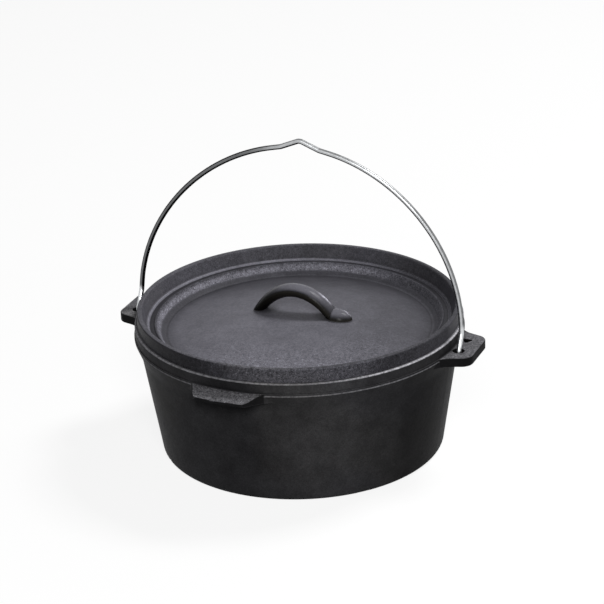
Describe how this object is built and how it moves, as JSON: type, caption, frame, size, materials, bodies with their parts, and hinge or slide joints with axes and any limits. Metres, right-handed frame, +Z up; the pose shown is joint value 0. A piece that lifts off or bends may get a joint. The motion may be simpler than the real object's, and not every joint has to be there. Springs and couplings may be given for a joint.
{
  "type": "dutch oven",
  "caption": "Flat-bottomed cast iron dutch oven: tapered pot with side ears and front lifting tab, dished coal lid with a cast loop handle, and a swinging wire bail.",
  "frame": {"origin": "centre of the pot's flat base, on the surface that it stands on", "axes": "+Z up through the pot's centre, +X through the ear that the lid handle's pad points to, -Y towards the lifting tab at the front"},
  "size_m": [0.377, 0.3472, 0.3208],
  "materials": {
    "pot_iron": "seasoned, fine sand-cast texture",
    "lid_iron": "seasoned, fine sand-cast texture",
    "bail_wire": "drawn steel wire, satin"
  },
  "bodies": {
    "pot": {"pot": "pot_iron"},
    "lid": {"lid": "lid_iron"},
    "bail": {"bail": "bail_wire"}
  },
  "joints": [
    {"name": "bail_hinge", "type": "hinge", "parent": "pot", "child": "bail", "pos_m": [0, 0, 0.11925], "axis": [1, 0, 0], "range_deg": [-75, 50]},
    {"name": "lid_lift", "type": "slide", "parent": "pot", "child": "lid", "axis": [0, -0.7431, 0.6691], "range_m": [0, 0.4]}
  ]
}
